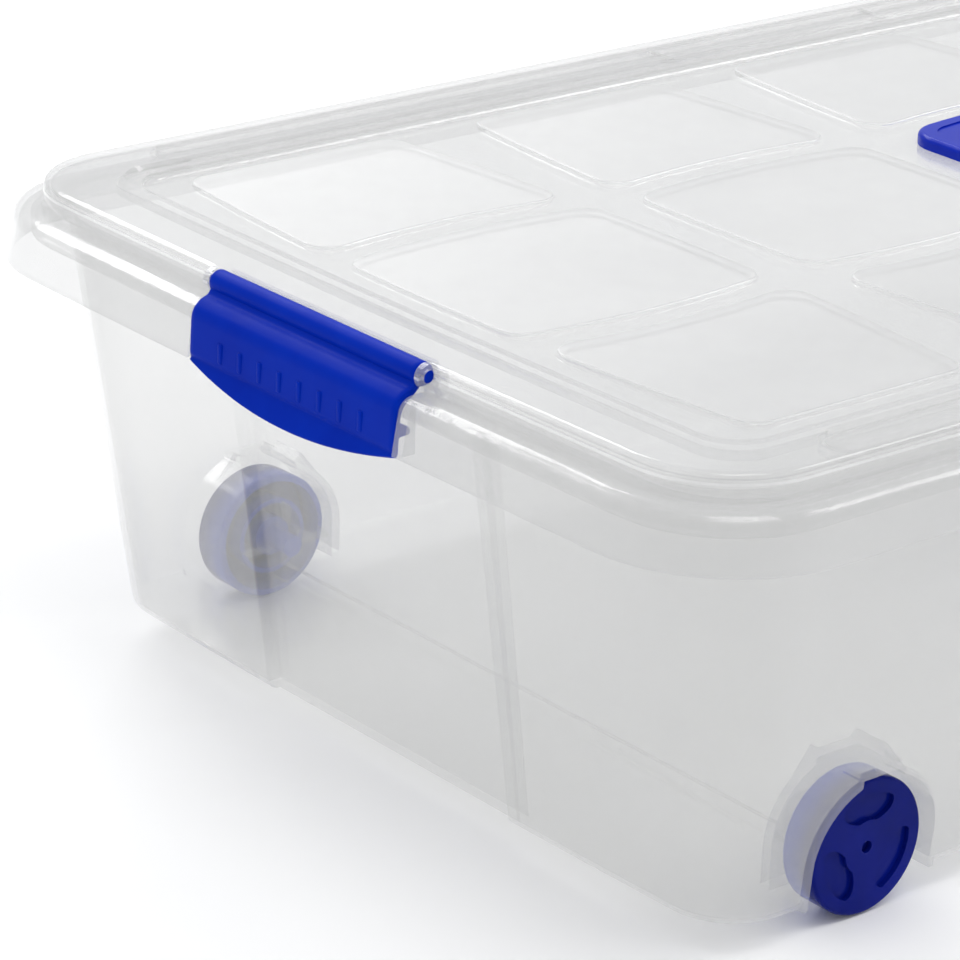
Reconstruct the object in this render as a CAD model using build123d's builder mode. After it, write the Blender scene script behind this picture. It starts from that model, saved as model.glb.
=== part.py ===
"""Low rolling under-bed storage box: clear tub, clear lid, blue clips, wheels and lid plate.

Frame: X runs along the length, Y across the width, Z up. The origin is on the floor, at the
middle of the box's bounding box. Millimetres throughout.
"""
import os

from build123d import *

# ---------------------------------------------------------------- driving dimensions
LENGTH = 728.0            # lid skirt, end to end, at the middle of the bowed ends
WIDTH = 395.0             # lid skirt, side to side
END_BOW = 2.5             # how far the middle of a short end stands out past its corners
CORNER_R = 50.0           # plan radius of the lid skirt's corners

SKIRT_BOTTOM = 143.5      # lid skirt's lower edge
LEDGE_Z = 162.0           # ledge round the lid, outside the raised rim
RIM_TOP = 171.0           # raised perimeter rim of the lid
FIELD_Z = 167.0           # sunken field that carries the pillow panels
STEP_Z = 169.2            # first step down from the rim to the field
PILLOW_RISE = 1.4
LID_WALL = 2.0
FIELD_WALL = 1.6
SKIRT_DRAFT = 3.0         # plan inset of the skirt over its height
SKIRT_ROUND = 5.5         # rounding of the skirt's shoulder
RIM_INSET = 12.0          # foot of the raised rim
RIM_TOP_INSET = 13.3
STEP_1_INSET = 37.0
STEP_2_INSET = 41.0
END_EXTRA = 3.0           # the steps lie this much further in at the short ends
GROOVE_IN = 18.5          # long grooves along the two sides of the rim
GROOVE_OUT = 33.0
GROOVE_END = 72.0
GROOVE_STOP = 56.0        # cross stops in each groove, from the middle of the length

TUB_TOP = 159.7           # top of the tub's rim flange
TUB_BOTTOM = 9.5          # underside of the tub above the floor
TUB_WALL = 2.0
TUB_FLOOR = 2.4
TUB_TOP_END = 20.5        # plan insets of the tub's wall from the lid skirt's outline
TUB_TOP_SIDE = 18.0
TUB_BOTTOM_END = 43.0
TUB_BOTTOM_SIDE = 32.0
TUB_TOP_R = 34.0
TUB_BOTTOM_R = 25.0
FLANGE_INSET = 8.4
HEM_DEPTH = 7.2
UPSTAND_TOP = 164.5
RECESS_HALF = 65.0        # half width of the set-back middle of each end wall
RECESS_DEPTH = 5.0
RECESS_DEPTH_TOP = 7.5

CLIP_LENGTH = 107.0
BAY_HALF = 54.0           # half length of the opening that the clip lies in
CHEEK = 2.5               # end cheeks that carry the clip's pins
PIVOT_INSET = 12.5
PIVOT_Z = 167.6
BEAD_R = 4.0
PIN_R = 2.2
PIN_PLAY = 0.05

WHEEL_R = 23.5
WHEEL_WIDTH = 14.0
WHEEL_FROM_END = 107.0
WHEEL_FACE_INSET = 34.0
AXLE_R = 4.0
AXLE_PLAY = 0.05
POCKET_R = 26.3
POCKET_WALL = 2.0
BOSS_LENGTH = 12.0

PANEL_PITCH = 127.0
PANEL_HALF = 54.5         # half width of a panel column at the lid's long centre line
PANEL_PINCH = 9.0         # how much narrower a column is at the field's sides
FIELD_HALF = 146.0
PLATE_HEIGHT = 4.6

# ---------------------------------------------------------------- derived sizes
END_X = LENGTH / 2
SIDE_Y = WIDTH / 2
PIVOT_X = END_X - PIVOT_INSET
WHEEL_X = END_X - WHEEL_FROM_END
WHEEL_FACE_Y = SIDE_Y - WHEEL_FACE_INSET
WHEEL_BACK_Y = WHEEL_FACE_Y - WHEEL_WIDTH
POCKET_BACK_Y = WHEEL_BACK_Y - 1.7
PILLOW_Z = FIELD_Z + PILLOW_RISE


def block(levels):
    """A closed solid in the box's plan, lofted through (end inset, side inset, z, radius)."""
    with BuildPart() as solid:
        for end_inset, side_inset, z, radius in levels:
            end = END_X - end_inset
            side = SIDE_Y - side_inset
            with BuildSketch(Plane.XY.offset(z)):
                with BuildLine():
                    ThreePointArc((end - END_BOW, -side), (end, 0), (end - END_BOW, side))
                    Line((end - END_BOW, side), (END_BOW - end, side))
                    ThreePointArc((END_BOW - end, side), (-end, 0), (END_BOW - end, -side))
                    Line((END_BOW - end, -side), (end - END_BOW, -side))
                outline = make_face()
                fillet(outline.vertices(), radius=radius)
        loft(ruled=True)
    return solid.part


def ring_level(inset, z):
    """A level that runs parallel to the lid skirt's outline."""
    return (inset, inset, z, max(CORNER_R - inset, 9.0))


def step_level(inset, z):
    """A level of the lid's sunken field, a little further in at the short ends."""
    return (inset + END_EXTRA, inset, z, 16.0)


def panel_half(y):
    """Half width of a panel column at the distance y from the long centre line."""
    return PANEL_HALF - PANEL_PINCH * (y / FIELD_HALF) ** 2


def middle_panel(z, height, shrink=0.0, corner=9.0, reach=48.5):
    """Barrel-shaped panel of the middle row, centred on the origin; reach is its half width."""
    flank = reach - 4.5 - shrink
    crown = reach - shrink
    half = panel_half(flank) - shrink
    with BuildPart() as solid:
        with BuildSketch(Plane.XY.offset(z)):
            with BuildLine():
                ThreePointArc((-half, flank), (0, crown), (half, flank))
                ThreePointArc((half, flank), (PANEL_HALF - shrink, 0), (half, -flank))
                ThreePointArc((half, -flank), (0, -crown), (-half, -flank))
                ThreePointArc((-half, -flank), (shrink - PANEL_HALF, 0), (-half, flank))
            face = make_face()
            fillet(face.vertices(), radius=corner)
        extrude(amount=height)
    return solid.part


def outer_panel(z, height, shrink=0.0, corner=9.0):
    """Panel of the outer row on the +Y side, centred on X = 0."""
    near = 56.0 + shrink
    crest = 60.5 + shrink
    far = FIELD_HALF - shrink
    waist = (near + far) / 2
    near_half = panel_half(near) - shrink
    waist_half = panel_half(waist) - shrink
    far_half = panel_half(far) - shrink
    with BuildPart() as solid:
        with BuildSketch(Plane.XY.offset(z)):
            with BuildLine():
                ThreePointArc((-near_half, near), (0, crest), (near_half, near))
                ThreePointArc((near_half, near), (waist_half, waist), (far_half, far))
                Line((far_half, far), (-far_half, far))
                ThreePointArc((-far_half, far), (-waist_half, waist), (-near_half, near))
            face = make_face()
            fillet(face.vertices(), radius=corner)
        extrude(amount=height)
    return solid.part


def top_softened(solid, radius):
    """The same solid with the edges of its top face rounded."""
    with BuildPart() as soft:
        add(solid)
        fillet(soft.faces().sort_by(Axis.Z)[-1].edges(), radius=radius)
    return soft.part


# ---------------------------------------------------------------- tub
tub_height = TUB_TOP - TUB_BOTTOM
floor_z = TUB_BOTTOM + TUB_FLOOR


def tub_level(z, wall):
    """Plan level of the tub's wall at the height z; wall is 0 outside and its thickness inside."""
    part_way = (z - TUB_BOTTOM) / tub_height
    end_inset = TUB_BOTTOM_END + (TUB_TOP_END - TUB_BOTTOM_END) * part_way
    side_inset = TUB_BOTTOM_SIDE + (TUB_TOP_SIDE - TUB_BOTTOM_SIDE) * part_way
    radius = TUB_BOTTOM_R + (TUB_TOP_R - TUB_BOTTOM_R) * part_way
    return (end_inset + wall, side_inset + wall, z, radius - wall)


tub_shell = block([tub_level(TUB_BOTTOM, 0.0), tub_level(TUB_TOP, 0.0)])
tub_hollow = block([tub_level(floor_z, TUB_WALL), tub_level(TUB_TOP + 8.0, TUB_WALL)])
flange_outer = block([
    ring_level(FLANGE_INSET + 0.4, TUB_TOP - HEM_DEPTH),
    ring_level(FLANGE_INSET, TUB_TOP),
])
flange_under = block([
    ring_level(FLANGE_INSET + 2.0, TUB_TOP - HEM_DEPTH - 1.0),
    ring_level(FLANGE_INSET + 1.6, TUB_TOP - 2.0),
])
upstand_outer = block([ring_level(15.9, TUB_TOP - 1.0), ring_level(16.2, UPSTAND_TOP)])
upstand_inner = block([ring_level(17.6, TUB_TOP - 2.0), ring_level(17.7, UPSTAND_TOP + 1.0)])


def end_recess(extra, top):
    """Wedge that sets the middle of each end wall back; extra thickens it into the tub."""
    low_x = END_X - tub_level(0.0, 0.0)[0] - RECESS_DEPTH - extra
    high_x = END_X - tub_level(top, 0.0)[0] - RECESS_DEPTH_TOP - extra
    with BuildPart() as wedge:
        with BuildSketch(Plane.XZ):
            with BuildLine():
                Polyline(
                    (low_x, 0.0),
                    (high_x, top),
                    (END_X + 20.0, top),
                    (END_X + 20.0, 0.0),
                    close=True,
                )
            make_face()
        extrude(amount=RECESS_HALF + extra, both=True)
        mirror(about=Plane.YZ)
    return wedge.part


def arch(radius, half, back_y, front_y, bottom, top_flat):
    """Arched block over one wheel, on the +X +Y corner, open downwards."""
    with BuildPart() as solid:
        with BuildSketch(Plane.XZ.offset(-back_y)):
            with Locations((WHEEL_X, WHEEL_R)):
                Circle(radius)
            with Locations((WHEEL_X, (WHEEL_R + bottom) / 2)):
                Rectangle(2 * half, WHEEL_R - bottom)
            with Locations((WHEEL_X, WHEEL_R + top_flat / 2)):
                Rectangle(18.0, top_flat)
        extrude(amount=-(front_y - back_y))
    return solid.part


pocket_shell = arch(POCKET_R + POCKET_WALL, POCKET_R + POCKET_WALL, POCKET_BACK_Y - POCKET_WALL,
                    SIDE_Y, TUB_BOTTOM, POCKET_R + 3.2)
pocket_space = arch(POCKET_R, POCKET_R, POCKET_BACK_Y, SIDE_Y, -1.0, POCKET_R + 1.2)

with BuildPart() as pocket_horns:
    with BuildSketch(Plane.XZ.offset(POCKET_WALL - POCKET_BACK_Y)):
        for way in (-1, 1):
            with BuildLine():
                Polyline(
                    (WHEEL_X + way * 6.0, WHEEL_R + POCKET_R + 2.6),
                    (WHEEL_X + way * 10.0, WHEEL_R + POCKET_R + 5.4),
                    (WHEEL_X + way * 19.0, WHEEL_R + POCKET_R - 6.0),
                    (WHEEL_X + way * 6.0, WHEEL_R + POCKET_R - 2.0),
                    close=True,
                )
            make_face()
    extrude(amount=-14.0)

with BuildPart() as boss:
    with BuildSketch(Plane.XZ.offset(0.5 - POCKET_BACK_Y)):
        with Locations((WHEEL_X, WHEEL_R)):
            Circle(7.5)
    extrude(amount=POCKET_WALL + 0.5 + BOSS_LENGTH)
    with BuildSketch(Plane.XZ.offset(POCKET_WALL + 6.0 - POCKET_BACK_Y)):
        with Locations((WHEEL_X, WHEEL_R)):
            Rectangle(2.4, 30.0)
            Rectangle(36.0, 2.4)
    extrude(amount=-6.5)

with BuildPart() as boss_bore:
    with BuildSketch(Plane.XZ.offset(-POCKET_BACK_Y - 1.0)):
        with Locations((WHEEL_X, WHEEL_R)):
            Circle(AXLE_R + AXLE_PLAY)
    extrude(amount=BOSS_LENGTH + 1.0)


def four_corners(solid):
    """The solid on the +X +Y corner together with its three mirror images."""
    with BuildPart() as group:
        add(solid)
        mirror(about=Plane.YZ)
        mirror(about=Plane.XZ)
    return group.part


with BuildPart() as pocket_walls:
    add(pocket_shell)
    add(pocket_horns.part)
    add(tub_shell, mode=Mode.INTERSECT)
    add(boss.part)

with BuildPart() as hollow:
    add(tub_hollow)
    add(end_recess(TUB_WALL, 152.0), mode=Mode.SUBTRACT)

with BuildPart() as flange:
    add(flange_outer)
    fillet(flange.faces().sort_by(Axis.Z)[-1].edges(), radius=1.0)
    add(flange_under, mode=Mode.SUBTRACT)
    add(tub_hollow, mode=Mode.SUBTRACT)

with BuildPart() as upstand:
    add(upstand_outer)
    add(upstand_inner, mode=Mode.SUBTRACT)
    with Locations((0, 0, UPSTAND_TOP)):
        Box(LENGTH, 2 * BAY_HALF + 14.0, 20.0, mode=Mode.SUBTRACT)

with BuildPart() as tub:
    add(tub_shell)
    fillet(tub.faces().sort_by(Axis.Z)[0].edges(), radius=5.0)
    add(end_recess(0.0, 150.0), mode=Mode.SUBTRACT)
    add(hollow.part, mode=Mode.SUBTRACT)
    add(flange.part)
    add(upstand.part)
    with Locations((WHEEL_X, 0, floor_z + 0.7), (-WHEEL_X, 0, floor_z + 0.7)):
        Box(8.0, 2 * POCKET_BACK_Y - 2.0, 1.8)
    add(four_corners(pocket_walls.part))
    add(four_corners(pocket_space), mode=Mode.SUBTRACT)
    add(four_corners(boss_bore.part), mode=Mode.SUBTRACT)
tub.part.label = "tub"

# ---------------------------------------------------------------- lid
skirt_block = top_softened(
    block([ring_level(0.0, SKIRT_BOTTOM), ring_level(SKIRT_DRAFT, LEDGE_Z)]),
    SKIRT_ROUND,
)
rim_block = top_softened(
    block([ring_level(RIM_INSET, LEDGE_Z - 1.0), ring_level(RIM_TOP_INSET, RIM_TOP)]),
    2.4,
)
skirt_hollow = top_softened(
    block([
        ring_level(LID_WALL - 0.1, SKIRT_BOTTOM - 1.0),
        ring_level(SKIRT_DRAFT + LID_WALL, LEDGE_Z - LID_WALL),
    ]),
    SKIRT_ROUND - LID_WALL,
)
rim_hollow = block([
    ring_level(RIM_INSET + LID_WALL, LEDGE_Z - 3.0),
    ring_level(RIM_TOP_INSET + LID_WALL, RIM_TOP - LID_WALL),
])
groove_mid = SIDE_Y - (GROOVE_IN + GROOVE_OUT) / 2
groove_width = GROOVE_OUT - GROOVE_IN


def grooves(z, height, grow):
    """The two long grooves of the rim as solid bars, with rounded ends."""
    with BuildPart() as bars:
        with BuildSketch(Plane.XY.offset(z)):
            with Locations((0, groove_mid), (0, -groove_mid)):
                SlotOverall(LENGTH - 2 * GROOVE_END + 2 * grow, groove_width + 2 * grow)
        extrude(amount=height)
    return bars.part


columns = [PANEL_PITCH * step for step in range(-2, 3)]


def panel_grid(z, height, shrink, soften):
    """Every pillow panel of the field; the middle one is left out for the plate."""
    middle = middle_panel(z, height, shrink)
    outer = outer_panel(z, height, shrink)
    if soften > 0:
        middle = top_softened(middle, soften)
        outer = top_softened(outer, soften)
    with BuildPart() as grid:
        for x in columns:
            with Locations((x, 0, 0)):
                add(outer)
                if x != 0:
                    add(middle)
        add(outer.mirror(Plane.XZ).moved(Location((columns[0], 0, 0))))
        for x in columns[1:]:
            add(outer.mirror(Plane.XZ).moved(Location((x, 0, 0))))
    return grid.part


with BuildPart() as cheek:
    with BuildSketch(Plane.XZ.offset(-BAY_HALF)):
        with BuildLine():
            Polyline(
                (END_X - 20.0, TUB_TOP + 0.5),
                (END_X - 20.0, RIM_TOP + 2.0),
                (END_X + 4.0, RIM_TOP + 2.0),
                (END_X + 4.0, SKIRT_BOTTOM - 4.0),
                (END_X - 7.4, SKIRT_BOTTOM - 4.0),
                (END_X - 7.4, TUB_TOP + 0.5),
                close=True,
            )
        make_face()
    extrude(amount=-CHEEK)

with BuildPart() as lug:
    with BuildSketch(Plane.XZ.offset(-BAY_HALF)):
        with Locations((PIVOT_X, PIVOT_Z)):
            Circle(BEAD_R + 0.2)
    extrude(amount=-CHEEK)

with BuildPart() as pin_bore:
    with BuildSketch(Plane.XZ.offset(1.0 - BAY_HALF)):
        with Locations((PIVOT_X, PIVOT_Z)):
            Circle(PIN_R + PIN_PLAY)
    extrude(amount=-CHEEK - 2.0)

with BuildPart() as lid_hollow:
    add(skirt_hollow)
    add(rim_hollow)
    add(block([step_level(35.0, FIELD_Z - FIELD_WALL), step_level(35.0, RIM_TOP)]), mode=Mode.SUBTRACT)
    add(grooves(FIELD_Z - 2.0, 5.0, 2.0), mode=Mode.SUBTRACT)
    add(panel_grid(FIELD_Z - FIELD_WALL - 1.0, 1.0 + PILLOW_RISE, 1.6, 0.0))
    add(four_corners(cheek.part), mode=Mode.SUBTRACT)
    for way in (-1, 1):
        with Locations((way * (END_X - 19.0), 0, TUB_TOP + 0.5 + 10.0)):
            Box(2.0, 2 * BAY_HALF + CHEEK, 20.0, mode=Mode.SUBTRACT)

with BuildPart() as lid:
    add(skirt_block)
    add(rim_block)
    add(four_corners(lug.part))
    add(block([step_level(STEP_1_INSET + 0.6, STEP_Z), step_level(STEP_1_INSET - 0.6, RIM_TOP + 0.5)]),
        mode=Mode.SUBTRACT)
    add(block([step_level(STEP_2_INSET + 0.8, FIELD_Z), step_level(STEP_2_INSET - 0.6, RIM_TOP + 0.5)]),
        mode=Mode.SUBTRACT)
    add(grooves(FIELD_Z, 5.0, 0.0), mode=Mode.SUBTRACT)
    with Locations((0, 0, FIELD_Z + 0.3)):
        with GridLocations(2 * GROOVE_STOP, 2 * groove_mid, 2, 2):
            Box(2.0, groove_width + 1.0, 2.6)
    add(panel_grid(FIELD_Z, PILLOW_RISE, 0.0, 0.9))
    add(lid_hollow.part, mode=Mode.SUBTRACT)
    for way in (-1, 1):
        with Locations((way * (END_X + 2.0), 0, RIM_TOP - 15.0)):
            Box(40.0, 2 * BAY_HALF, 50.0, mode=Mode.SUBTRACT)
    add(four_corners(pin_bore.part), mode=Mode.SUBTRACT)
    with Locations((0, 0, FIELD_Z)):
        with GridLocations(70.0, 60.0, 2, 2):
            Cylinder(1.8, 12.0, mode=Mode.SUBTRACT)
lid.part.label = "lid"

# ---------------------------------------------------------------- lid plate
with BuildPart() as lid_plate:
    add(middle_panel(FIELD_Z, PLATE_HEIGHT, 0.0, 15.0, 45.0))
    fillet(lid_plate.faces().sort_by(Axis.Z)[-1].edges(), radius=2.0)
    add(middle_panel(FIELD_Z + PLATE_HEIGHT - 0.5, 2.0, 6.0, 11.0, 45.0), mode=Mode.SUBTRACT)
    with Locations((0, 0, FIELD_Z - 1.4)):
        with GridLocations(70.0, 60.0, 2, 2):
            Cylinder(1.6, 2.8 + 0.4)
lid_plate.part.label = "lid_plate"

# ---------------------------------------------------------------- clips
def outward(inset, z):
    """Point of the clip's profile, measured inwards from the end of the lid skirt."""
    return (END_X - inset, z)


with BuildPart() as clip:
    with BuildSketch(Plane.XZ):
        with Locations((PIVOT_X, PIVOT_Z)):
            Circle(BEAD_R)
        with BuildLine():
            outer_neck = Polyline(outward(12.0, 167.6), outward(8.9, 165.6), outward(8.0, 164.0))
            shoulder = ThreePointArc(outer_neck @ 1, outward(4.2, 162.6), outward(1.4, 158.0))
            lip = Polyline(
                shoulder @ 1,
                outward(0.9, 143.4),
                outward(-2.8, 136.8),
                outward(-1.0, 135.6),
                outward(3.4, 142.7),
                outward(3.6, 148.6),
                outward(7.9, 148.9),
                outward(7.9, 151.2),
                outward(3.9, 153.4),
            )
            inner_curve = ThreePointArc(lip @ 1, outward(5.6, 158.6), outward(8.6, 161.2))
            Polyline(inner_curve @ 1, outward(11.5, 163.9), outward(12.0, 167.6))
        make_face()
    extrude(amount=CLIP_LENGTH / 2, both=True)
    with BuildSketch(Plane.XZ):
        with Locations((PIVOT_X, PIVOT_Z)):
            Circle(PIN_R)
    extrude(amount=BAY_HALF + CHEEK - 0.3, both=True)
    with BuildSketch(Plane.YZ.offset(END_X - 10.0)):
        with BuildLine():
            ThreePointArc(
                (-CLIP_LENGTH / 2 - 0.5, 143.2),
                (0, 135.4),
                (CLIP_LENGTH / 2 + 0.5, 143.2),
            )
            Polyline(
                (CLIP_LENGTH / 2 + 0.5, 143.2),
                (CLIP_LENGTH / 2 + 0.5, 115.0),
                (-CLIP_LENGTH / 2 - 0.5, 115.0),
                (-CLIP_LENGTH / 2 - 0.5, 143.2),
            )
        make_face()
    extrude(amount=40.0, mode=Mode.SUBTRACT)
    with Locations((END_X - 1.4, 0, 149.5)):
        with GridLocations(1.0, 10.5, 1, 8):
            Box(1.6, 2.2, 7.0)

with BuildPart() as clip_rear:
    add(clip.part)
clip_rear.part.label = "clip_rear"

with BuildPart() as clip_front:
    add(clip.part.mirror(Plane.YZ))
clip_front.part.label = "clip_front"

# ---------------------------------------------------------------- wheels
with BuildPart() as wheel:
    face_plane = Plane.XZ.offset(-WHEEL_FACE_Y)
    back_plane = Plane.XZ.offset(-WHEEL_BACK_Y)
    with BuildSketch(face_plane):
        with Locations((WHEEL_X, WHEEL_R)):
            Circle(WHEEL_R)
    extrude(amount=WHEEL_WIDTH)
    fillet(wheel.edges().filter_by(GeomType.CIRCLE), radius=1.3)
    with BuildSketch(back_plane):
        with Locations((WHEEL_X, WHEEL_R)):
            Circle(WHEEL_R - 2.6)
            Circle(14.4, mode=Mode.SUBTRACT)
            Circle(12.6)
            Circle(7.4, mode=Mode.SUBTRACT)
    extrude(amount=3.4 - WHEEL_WIDTH, mode=Mode.SUBTRACT)
    with BuildSketch(face_plane):
        with Locations((WHEEL_X, WHEEL_R)):
            with PolarLocations(13.8, 3, 90.0):
                Ellipse(5.6, 10.6)
            Circle(18.4, mode=Mode.INTERSECT)
            Circle(9.2, mode=Mode.SUBTRACT)
    extrude(amount=1.6, mode=Mode.SUBTRACT)
    with BuildSketch(face_plane):
        with Locations((WHEEL_X, WHEEL_R)):
            Circle(2.1)
    extrude(amount=2.2, mode=Mode.SUBTRACT)
    with BuildSketch(Plane.XZ.offset(-WHEEL_FACE_Y + 5.0)):
        with Locations((WHEEL_X, WHEEL_R)):
            Circle(AXLE_R)
    extrude(amount=WHEEL_WIDTH - 5.0 + 1.7 + BOSS_LENGTH - 1.0)

with BuildPart() as wheel_rear_left:
    add(wheel.part)
wheel_rear_left.part.label = "wheel_rear_left"

with BuildPart() as wheel_rear_right:
    add(wheel.part.mirror(Plane.XZ))
wheel_rear_right.part.label = "wheel_rear_right"

with BuildPart() as wheel_front_left:
    add(wheel.part.mirror(Plane.YZ))
wheel_front_left.part.label = "wheel_front_left"

with BuildPart() as wheel_front_right:
    add(wheel.part.mirror(Plane.YZ).mirror(Plane.XZ))
wheel_front_right.part.label = "wheel_front_right"

# ---------------------------------------------------------------- files
os.makedirs("parts", exist_ok=True)
export_step(tub.part, "parts/tub.step")
export_step(lid.part, "parts/lid.step")
export_step(lid_plate.part, "parts/lid_plate.step")
export_step(clip_front.part, "parts/clip_front.step")
export_step(clip_rear.part, "parts/clip_rear.step")
export_step(wheel_front_left.part, "parts/wheel_front_left.step")
export_step(wheel_front_right.part, "parts/wheel_front_right.step")
export_step(wheel_rear_left.part, "parts/wheel_rear_left.step")
export_step(wheel_rear_right.part, "parts/wheel_rear_right.step")
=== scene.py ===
"""Looks of the under-bed box: frosted clear plastic, blue clips and plate, navy wheels."""
import math

import bmesh
import bpy
from mathutils import Matrix, Vector


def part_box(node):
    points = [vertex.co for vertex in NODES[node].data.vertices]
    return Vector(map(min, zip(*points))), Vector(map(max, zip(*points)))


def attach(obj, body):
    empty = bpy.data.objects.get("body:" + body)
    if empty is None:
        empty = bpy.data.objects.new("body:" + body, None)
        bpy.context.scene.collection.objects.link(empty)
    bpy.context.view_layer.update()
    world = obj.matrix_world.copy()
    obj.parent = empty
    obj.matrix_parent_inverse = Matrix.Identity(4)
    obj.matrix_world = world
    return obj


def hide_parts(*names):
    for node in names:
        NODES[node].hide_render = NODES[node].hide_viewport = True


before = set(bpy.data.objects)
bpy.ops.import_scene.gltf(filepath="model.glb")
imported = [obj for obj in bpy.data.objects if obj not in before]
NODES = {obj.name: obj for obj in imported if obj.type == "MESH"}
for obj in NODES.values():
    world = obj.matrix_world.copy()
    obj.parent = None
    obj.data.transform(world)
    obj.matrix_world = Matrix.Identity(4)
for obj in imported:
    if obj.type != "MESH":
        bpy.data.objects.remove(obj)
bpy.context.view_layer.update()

WHEELS = ("wheel_front_left", "wheel_front_right", "wheel_rear_left", "wheel_rear_right")

# Camera, in the row frame
CAMERA_PLACE = (-1.120, -1.006, 0.617)
HEADING = 0.877
LOOK_DOWN = 0.3763
ROLL = 0.0312
LENS = 159.6
SENSOR_WIDTH = 36.0

# Clear plastic
GLOW_SHARE = 0.30          # of the milky part, how much passes light on from behind
SLANT_MILKINESS = 0.15     # added where a wall is seen at a slant
FACE_ON_MIRROR = 0.04      # gloss of a wall seen straight on
GRAZING_MIRROR = 0.80      # added towards a grazing view
EDGE_GLEAM = 0.22          # added to the gloss inside the edge band
CLEAR_TINT = (0.955, 0.955, 0.953)
MATTE_TINT = (0.885, 0.885, 0.883)
MATTE_ROUGHNESS = 0.22
MATTE_MILKINESS = 0.03

# Clips, in mm: out from the lid's end and up from the clip's top
LIP_REACH = 2.8            # how far the lip stands past the lid's end
PIN_LENGTH = 2.7
PIVOT_IN, PIVOT_DOWN = 12.5, 4.0
BEAD_RADIUS = 4.0
PIN_RADIUS, PIN_TIP_RADIUS = 2.2, 1.8
SECTIONS = 56
BAR_COUNT, BAR_PITCH = 8, 10.5
BAR_DOWN = 22.1
SHARP_ANGLE = 38


# ---------------------------------------------------------------- node helpers
def tree_of(name):
    """A new material with an empty node tree; gives the material, its nodes and a link function."""
    material = bpy.data.materials.new(name)
    material.use_nodes = True
    nodes = material.node_tree.nodes
    nodes.clear()
    return material, nodes, material.node_tree.links.new


def noise(nodes, link, scale, detail=3.0, roughness=0.5, stretch=(1.0, 1.0, 1.0)):
    """Noise on the object's own coordinates; gives its value socket."""
    place = nodes.new("ShaderNodeTexCoord")
    mapping = nodes.new("ShaderNodeMapping")
    mapping.inputs["Scale"].default_value = stretch
    texture = nodes.new("ShaderNodeTexNoise")
    texture.inputs["Scale"].default_value = scale
    texture.inputs["Detail"].default_value = detail
    texture.inputs["Roughness"].default_value = roughness
    link(place.outputs["Object"], mapping.inputs["Vector"])
    link(mapping.outputs["Vector"], texture.inputs["Vector"])
    return texture.outputs["Fac"]


def ramp(nodes, link, source, stops):
    """Colour ramp with (position, colour) stops over a value socket."""
    node = nodes.new("ShaderNodeValToRGB")
    elements = node.color_ramp.elements
    elements[0].position, elements[0].color = stops[0][0], (*stops[0][1], 1.0)
    elements[1].position, elements[1].color = stops[-1][0], (*stops[-1][1], 1.0)
    for position, colour in stops[1:-1]:
        elements.new(position).color = (*colour, 1.0)
    link(source, node.inputs["Fac"])
    return node.outputs["Color"]


def spread(nodes, link, source, low, high, start=0.3, end=0.7):
    """Map a value socket from start..end to low..high."""
    node = nodes.new("ShaderNodeMapRange")
    node.inputs["From Min"].default_value = start
    node.inputs["From Max"].default_value = end
    node.inputs["To Min"].default_value = low
    node.inputs["To Max"].default_value = high
    link(source, node.inputs["Value"])
    return node.outputs["Result"]


def math_node(nodes, link, operation, first, second, clamp=False):
    """One Math node; first and second are sockets or numbers."""
    node = nodes.new("ShaderNodeMath")
    node.operation = operation
    node.use_clamp = clamp
    for socket, value in ((node.inputs[0], first), (node.inputs[1], second)):
        if isinstance(value, (int, float)):
            socket.default_value = value
        else:
            link(value, socket)
    return node.outputs["Value"]


def bump(nodes, link, layers):
    """Chained bumps of (height socket, strength, distance)."""
    normal = None
    for height, strength, distance in layers:
        node = nodes.new("ShaderNodeBump")
        node.inputs["Strength"].default_value = strength
        node.inputs["Distance"].default_value = distance
        link(height, node.inputs["Height"])
        if normal is not None:
            link(normal, node.inputs["Normal"])
        normal = node.outputs["Normal"]
    return normal


def band(nodes, link, low, high, blur):
    """1 between two heights of the object and 0 outside them, with soft ends."""
    place = nodes.new("ShaderNodeTexCoord")
    parts = nodes.new("ShaderNodeSeparateXYZ")
    link(place.outputs["Object"], parts.inputs[0])
    rise = spread(nodes, link, parts.outputs["Z"], 0.0, 1.0, low - blur, low + blur)
    fall = spread(nodes, link, parts.outputs["Z"], 1.0, 0.0, high - blur, high + blur)
    return math_node(nodes, link, "MULTIPLY", rise, fall)


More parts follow.
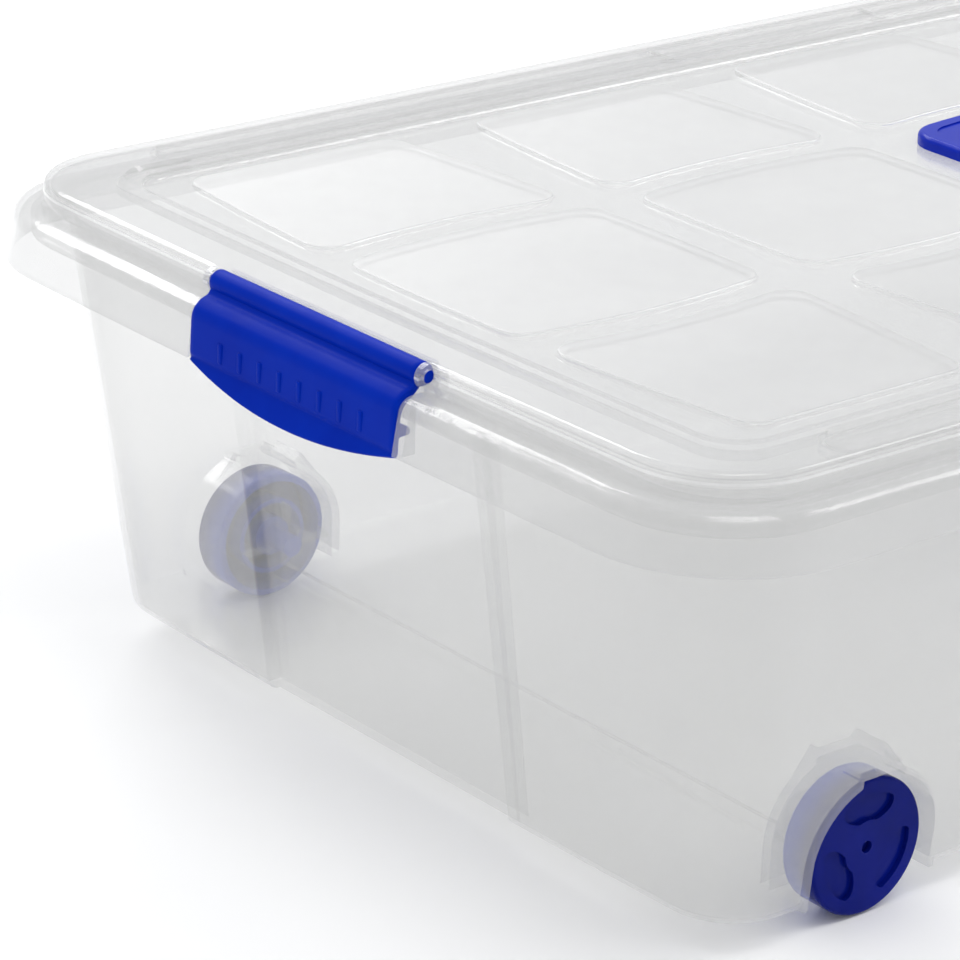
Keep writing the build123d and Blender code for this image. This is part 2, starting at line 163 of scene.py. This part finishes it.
# ---------------------------------------------------------------- materials
def frosted_clear(name, opacity, tint, matte_band=None, edge_band=None):
    """Nearly clear, slightly cloudy polypropylene: a satin skin mixed with see-through.
    matte_band is a range of heights whose fine texture makes it duller and greyer, and
    edge_band one whose folds gather light and gleam."""
    material, nodes, link = tree_of(name)
    clouds = noise(nodes, link, 9.0, 4.0, 0.6)
    flow = noise(nodes, link, 3.0, 3.0, 0.55, (1.0, 6.0, 14.0))
    grain = noise(nodes, link, 900.0, 2.0, 0.6)
    dust = noise(nodes, link, 160.0, 3.0, 0.7)
    skin = nodes.new("ShaderNodeBsdfPrincipled")
    link(ramp(nodes, link, clouds, [(0.30, tint[0]), (0.70, tint[1])]), skin.inputs["Base Color"])
    roughness = math_node(nodes, link, "ADD", spread(nodes, link, dust, 0.08, 0.17),
                          spread(nodes, link, flow, -0.03, 0.04))
    cloudy = spread(nodes, link, clouds, *opacity)
    if matte_band is not None:
        matte = band(nodes, link, *matte_band)
        roughness = math_node(nodes, link, "ADD", roughness,
                              math_node(nodes, link, "MULTIPLY", matte, MATTE_ROUGHNESS))
        cloudy = math_node(nodes, link, "ADD", cloudy,
                           math_node(nodes, link, "MULTIPLY", matte, MATTE_MILKINESS))
    skin.inputs["Roughness"].default_value = 0.6
    skin.inputs["Specular IOR Level"].default_value = 0.0
    relief = bump(nodes, link, [(flow, 0.22, 0.0005), (grain, 0.05, 0.00008)])
    link(relief, skin.inputs["Normal"])
    glow = nodes.new("ShaderNodeBsdfTranslucent")
    glow.inputs["Color"].default_value = (0.92, 0.92, 0.92, 1.0)
    body = nodes.new("ShaderNodeMixShader")
    body.inputs[0].default_value = GLOW_SHARE
    link(skin.outputs[0], body.inputs[1])
    link(glow.outputs[0], body.inputs[2])
    clear = nodes.new("ShaderNodeBsdfTransparent")
    clear.inputs["Color"].default_value = (*CLEAR_TINT, 1.0)
    if matte_band is not None:
        tinted = ramp(nodes, link, matte, [(0.0, CLEAR_TINT), (1.0, MATTE_TINT)])
        link(tinted, clear.inputs["Color"])
    facing = nodes.new("ShaderNodeLayerWeight")
    facing.inputs["Blend"].default_value = 0.70
    rim = math_node(nodes, link, "MULTIPLY", facing.outputs["Facing"], SLANT_MILKINESS)
    share = math_node(nodes, link, "ADD", cloudy, rim, clamp=True)
    inside = nodes.new("ShaderNodeMixShader")
    link(share, inside.inputs[0])
    link(clear.outputs[0], inside.inputs[1])
    link(body.outputs[0], inside.inputs[2])
    shine = nodes.new("ShaderNodeBsdfGlossy")
    shine.inputs["Color"].default_value = (1.0, 1.0, 1.0, 1.0)
    link(roughness, shine.inputs["Roughness"])
    link(relief, shine.inputs["Normal"])
    slant = nodes.new("ShaderNodeLayerWeight")
    slant.inputs["Blend"].default_value = 0.5
    steep = math_node(nodes, link, "POWER", slant.outputs["Facing"], 5.0)
    grazing = math_node(nodes, link, "MULTIPLY", steep, GRAZING_MIRROR)
    mirror = math_node(nodes, link, "ADD", grazing, FACE_ON_MIRROR)
    if edge_band is not None:
        gleam = math_node(nodes, link, "MULTIPLY", band(nodes, link, *edge_band), EDGE_GLEAM)
        mirror = math_node(nodes, link, "ADD", mirror, gleam)
    surface = nodes.new("ShaderNodeMixShader")
    link(mirror, surface.inputs[0])
    link(inside.outputs[0], surface.inputs[1])
    link(shine.outputs[0], surface.inputs[2])
    out = nodes.new("ShaderNodeOutputMaterial")
    link(surface.outputs[0], out.inputs["Surface"])
    return material


def moulded(name, stops, rough, gloss, painted_light_stops=None, face_y=0.0):
    """Coloured moulded plastic with a faint grain, flow marks and scuffs in its gloss.
    The optional inside stops colour what lies nearer the middle plane than face_y. That brighter
    colour is painted light: it stands in for lamp light that the surrounding walls keep off that
    inner side."""
    material, nodes, link = tree_of(name)
    clouds = noise(nodes, link, 22.0, 4.0, 0.6)
    flow = noise(nodes, link, 14.0, 3.0, 0.6, (1.0, 0.35, 3.0))
    grain = noise(nodes, link, 1400.0, 2.0, 0.6)
    scuff = noise(nodes, link, 130.0, 5.0, 0.75, (1.0, 0.4, 1.0))
    skin = nodes.new("ShaderNodeBsdfPrincipled")
    colour = ramp(nodes, link, clouds, stops)
    # Painted light: nearer the middle plane than face_y the colour changes to the brighter inside
    # stops, standing in for light kept off by the walls around.
    if painted_light_stops is not None:
        place = nodes.new("ShaderNodeTexCoord")
        parts = nodes.new("ShaderNodeSeparateXYZ")
        link(place.outputs["Object"], parts.inputs[0])
        across = math_node(nodes, link, "ABSOLUTE", parts.outputs["Y"], 0.0)
        painted_light_mix = nodes.new("ShaderNodeMixRGB")
        link(spread(nodes, link, across, 0.0, 1.0, face_y - 0.0080, face_y - 0.0015), painted_light_mix.inputs[0])
        link(ramp(nodes, link, clouds, painted_light_stops), painted_light_mix.inputs[1])
        link(colour, painted_light_mix.inputs[2])
        colour = painted_light_mix.outputs[0]
    link(colour, skin.inputs["Base Color"])
    low, high = rough
    roughness = math_node(nodes, link, "ADD", spread(nodes, link, scuff, low, high),
                          spread(nodes, link, flow, -0.03, 0.03))
    link(roughness, skin.inputs["Roughness"])
    skin.inputs["IOR"].default_value = 1.5
    skin.inputs["Specular IOR Level"].default_value = gloss
    link(bump(nodes, link, [(flow, 0.2, 0.0004), (grain, 0.22, 0.00008)]), skin.inputs["Normal"])
    out = nodes.new("ShaderNodeOutputMaterial")
    link(skin.outputs[0], out.inputs["Surface"])
    return material


# Heights on the lid: its panels rise from the field, and their tops are the matte band
FIELD_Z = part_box("lid")[1].z - 0.0048
PANEL_TOPS = (FIELD_Z + 0.0010, FIELD_Z + 0.0017, 0.0002)
PANEL_EDGES = (FIELD_Z + 0.0001, FIELD_Z + 0.0010, 0.0002)
# Plane just inside the wheel's outer face; inward of it the wheel is painted a brighter blue, which
# is painted light.
WHEEL_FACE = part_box("wheel_front_left")[1].y - 0.0025

CLEAR_TUB = frosted_clear(
    "frosted_tub", (0.03, 0.055), ((0.80, 0.80, 0.795), (0.88, 0.88, 0.875)))
CLEAR_LID = frosted_clear(
    "frosted_lid", (0.09, 0.14), ((0.70, 0.70, 0.70), (0.78, 0.78, 0.78)), PANEL_TOPS, PANEL_EDGES)
CLIP_BLUE = moulded(
    "clip_blue", [(0.3, (0.0, 0.018, 0.36)), (0.7, (0.0, 0.026, 0.43))], (0.30, 0.42), 0.03)
PLATE_BLUE = moulded(
    "plate_blue", [(0.3, (0.002, 0.016, 0.38)), (0.7, (0.005, 0.026, 0.46))], (0.16, 0.26), 0.10)
# Wheels: navy faces, plus brighter blue inside stops that are painted light on the back and tread,
# which the tub walls keep in shade.
WHEEL_NAVY = moulded(
    "wheel_navy", [(0.3, (0.001, 0.006, 0.14)), (0.7, (0.003, 0.010, 0.22))], (0.14, 0.24), 0.07,
    [(0.3, (0.003, 0.040, 0.44)), (0.7, (0.006, 0.060, 0.54))], WHEEL_FACE)


def dress(node, material):
    """Give a carried-over node its material and slot."""
    piece = NODES[node]
    piece.data.materials.clear()
    piece.data.materials.append(material)


dress("tub", CLEAR_TUB)
dress("lid", CLEAR_LID)
dress("lid_plate", PLATE_BLUE)
for wheel in WHEELS:
    dress(wheel, WHEEL_NAVY)


# ---------------------------------------------------------------- clips
def arc_points(centre, radius, start, end, count):
    """Points on a circle, by angles in degrees."""
    steps = [math.radians(start + (end - start) * i / (count - 1)) for i in range(count)]
    return [(centre[0] + radius * math.cos(a), centre[1] + radius * math.sin(a)) for a in steps]


def rounded(corner, before, after, radius):
    """Four points that round one corner of an outline."""
    here = Vector(corner)
    back = (Vector(before) - here)
    ahead = (Vector(after) - here)
    reach = min(radius, 0.45 * back.length, 0.45 * ahead.length)
    start = here + back.normalized() * reach
    end = here + ahead.normalized() * reach
    found = []
    for t in (0.0, 0.33, 0.67, 1.0):
        found.append(tuple(start * (1 - t) ** 2 + here * 2 * t * (1 - t) + end * t ** 2))
    return found


def clip_outline(drop):
    """Closed profile of a clip in mm, out from the lid's end and up from the clip's top.
    drop is 0 where the lip is shortest and 1 in its middle."""
    outer_tip = (-0.7 + 3.5 * drop, -28.6 - 6.2 * drop)
    inner_tip = (-2.6 + 3.6 * drop, -29.5 - 6.5 * drop)
    corners = [
        ((-9.0, -5.94), 0.5), ((-8.0, -7.6), 1.0), ((-5.2, -8.5), 2.0), ((-2.4, -10.9), 2.0),
        ((-1.4, -13.6), 2.0), ((-0.9, -26.3), 0.8), ((-1.5, -27.7), 0.7), (outer_tip, 0.6),
        (inner_tip, 0.6), ((-3.4, -28.4), 2.0), ((-3.6, -23.0), 0.5), ((-7.9, -22.7), 0.6),
        ((-7.9, -20.4), 0.6), ((-3.9, -18.2), 0.8), ((-4.3, -14.9), 2.0), ((-6.0, -12.2), 2.0),
        ((-8.6, -10.4), 1.0),
    ]
    points = []
    for i, (corner, radius) in enumerate(corners):
        before = corners[i - 1][0] if i else (-9.6, -4.6)
        after = corners[i + 1][0] if i + 1 < len(corners) else (-11.36, -7.83)
        points += rounded(corner, before, after, radius)
    return points + arc_points((-PIVOT_IN, -PIVOT_DOWN), BEAD_RADIUS, -73.4, -389.0, 25)


def shrunk(points, by):
    """The closed outline moved inwards by a distance."""
    found = []
    for i, here in enumerate(points):
        along = Vector(points[(i + 1) % len(points)]) - Vector(points[i - 1])
        if along.length > 0:
            along.normalize()
        found.append((here[0] - along.y * by, here[1] + along.x * by))
    return found


def ring_strip(mesh, rings):
    """Quads between successive rings of vertices, and a face over each end."""
    rows = [[mesh.verts.new(p) for p in ring] for ring in rings]
    count = len(rows[0])
    for one, two in zip(rows, rows[1:]):
        for i in range(count):
            mesh.faces.new((one[i], one[(i + 1) % count], two[(i + 1) % count], two[i]))
    mesh.faces.new(list(reversed(rows[0])))
    mesh.faces.new(rows[-1])


def soft_block(mesh, centre, half, edge):
    """A small block with softened edges: rounded rings stacked along X."""
    rings = []
    for x, grow in ((-half[0], 0.0), (half[0] - edge, 0.0), (half[0] - 0.3 * edge, -0.4 * edge),
                    (half[0], -1.2 * edge)):
        ring = []
        for sy, sz in ((1, 1), (-1, 1), (-1, -1), (1, -1)):
            corner_y, corner_z = sy * (half[1] + grow - edge), sz * (half[2] + grow - edge)
            start = {(1, 1): 0, (-1, 1): 90, (-1, -1): 180, (1, -1): 270}[(sy, sz)]
            for y, z in arc_points((corner_y, corner_z), edge, start, start + 90, 4):
                ring.append((centre[0] + x, centre[1] + y, centre[2] + z))
        rings.append(ring)
    ring_strip(mesh, rings)


def clip_piece(node, way):
    """The clip with its crescent lip, softened edges, end pins and grip bars.
    way is 1 for the +X end and -1 for the -X end."""
    low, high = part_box(node)
    end = max(abs(low.x), abs(high.x)) * 1000 - LIP_REACH
    top = high.z * 1000
    half = high.y * 1000 - PIN_LENGTH
    mesh = bmesh.new()
    rings = []
    ends = [(-half, 0.45), (-half + 0.15, 0.15), (-half + 0.45, 0.0)]
    inner = [(-half + 0.45 + (2 * half - 0.9) * i / SECTIONS, 0.0) for i in range(1, SECTIONS)]
    stations = ends + inner + [(-y, by) for y, by in reversed(ends)]
    for y, by in stations:
        outline = clip_outline(1 - (abs(y) / half) ** 2)
        if by:
            outline = shrunk(outline, -by)
        rings.append([(end + out, y, top + up) for out, up in outline])
    ring_strip(mesh, rings)
    for side in (-1, 1):
        rings = []
        for y, radius in ((half - 1.0, PIN_RADIUS), (half + PIN_LENGTH - 0.4, PIN_RADIUS),
                          (half + PIN_LENGTH, PIN_TIP_RADIUS)):
            circle = arc_points((end - PIVOT_IN, top - PIVOT_DOWN), radius, 0, 345, 24)
            rings.append([(x, side * y, z) for x, z in circle])
        ring_strip(mesh, rings)
    for step in range(BAR_COUNT):
        across = (step - (BAR_COUNT - 1) / 2) * BAR_PITCH
        soft_block(mesh, (end - 1.4, across, top - BAR_DOWN), (0.8, 1.1, 3.5), 0.45)
    for v in mesh.verts:
        v.co = Vector((v.co.x * way, v.co.y, v.co.z)) * 0.001
    bmesh.ops.recalc_face_normals(mesh, faces=mesh.faces)
    data = bpy.data.meshes.new(node + "_shape")
    mesh.to_mesh(data)
    mesh.free()
    data.shade_smooth()
    data.set_sharp_from_angle(angle=math.radians(SHARP_ANGLE))
    piece = bpy.data.objects.new(node + "_moulded", data)
    bpy.context.scene.collection.objects.link(piece)
    data.materials.append(CLIP_BLUE)
    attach(piece, node)
    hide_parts(node)


clip_piece("clip_front", -1)
clip_piece("clip_rear", 1)


# ---------------------------------------------------------------- stage
def floor_material():
    """Pale matt floor with a barely visible unevenness."""
    material, nodes, link = tree_of("stage_floor")
    skin = nodes.new("ShaderNodeBsdfPrincipled")
    clouds = noise(nodes, link, 2.0, 3.0)
    link(ramp(nodes, link, clouds, [(0.3, (0.94, 0.94, 0.94)), (0.7, (0.96, 0.96, 0.96))]),
         skin.inputs["Base Color"])
    skin.inputs["Roughness"].default_value = 0.75
    skin.inputs["Specular IOR Level"].default_value = 0.2
    out = nodes.new("ShaderNodeOutputMaterial")
    link(skin.outputs[0], out.inputs["Surface"])
    return material


bpy.ops.mesh.primitive_plane_add(size=30.0, location=(0, 0, -0.0005))
floor = bpy.context.object
floor.name = "stage_floor"
floor.data.materials.append(floor_material())


def lamp(name, place, target, size, power, colour):
    """Large soft area light aimed at a point."""
    data = bpy.data.lights.new(name, "AREA")
    data.shape = "RECTANGLE"
    data.size, data.size_y = size
    data.energy = power
    data.color = colour
    light = bpy.data.objects.new(name, data)
    bpy.context.scene.collection.objects.link(light)
    light.location = place
    light.rotation_mode = "QUATERNION"
    light.rotation_quaternion = (Vector(target) - Vector(place)).to_track_quat("-Z", "Y")


lamp("top_light", (-0.3, -0.8, 2.6), (0.0, 0.0, 0.1), (1.3, 1.0), 16.0, (1.0, 0.995, 0.985))
lamp("back_light", (0.1, 2.2, 1.9), (0.0, 0.0, 0.1), (2.6, 0.7), 34.0, (1.0, 1.0, 1.0))
lamp("right_light", (1.8, -1.1, 2.0), (0.0, 0.0, 0.1), (0.7, 1.8), 20.0, (1.0, 1.0, 1.0))

world = bpy.data.worlds.new("studio")
world.use_nodes = True
world.node_tree.nodes["Background"].inputs["Color"].default_value = (0.95, 0.96, 0.98, 1.0)
world.node_tree.nodes["Background"].inputs["Strength"].default_value = 0.72
bpy.context.scene.world = world
bpy.context.scene.view_settings.view_transform = "Standard"
bpy.context.scene.cycles.transparent_max_bounces = 24

# ---------------------------------------------------------------- camera
forward = Vector((math.cos(HEADING) * math.cos(LOOK_DOWN), math.sin(HEADING) * math.cos(LOOK_DOWN),
                  -math.sin(LOOK_DOWN)))
right = forward.cross(Vector((0, 0, 1))).normalized()
up = right.cross(forward)
rolled_right = right * math.cos(ROLL) + up * math.sin(ROLL)
rolled_up = up * math.cos(ROLL) - right * math.sin(ROLL)
camera_data = bpy.data.cameras.new("camera")
camera_data.lens = LENS
camera_data.sensor_width = SENSOR_WIDTH
camera_data.clip_start, camera_data.clip_end = 0.05, 60.0
camera = bpy.data.objects.new("camera", camera_data)
bpy.context.scene.collection.objects.link(camera)
turn = Matrix((rolled_right, rolled_up, -forward)).transposed()
camera.matrix_world = Matrix.Translation(CAMERA_PLACE) @ turn.to_4x4()
bpy.context.scene.camera = camera
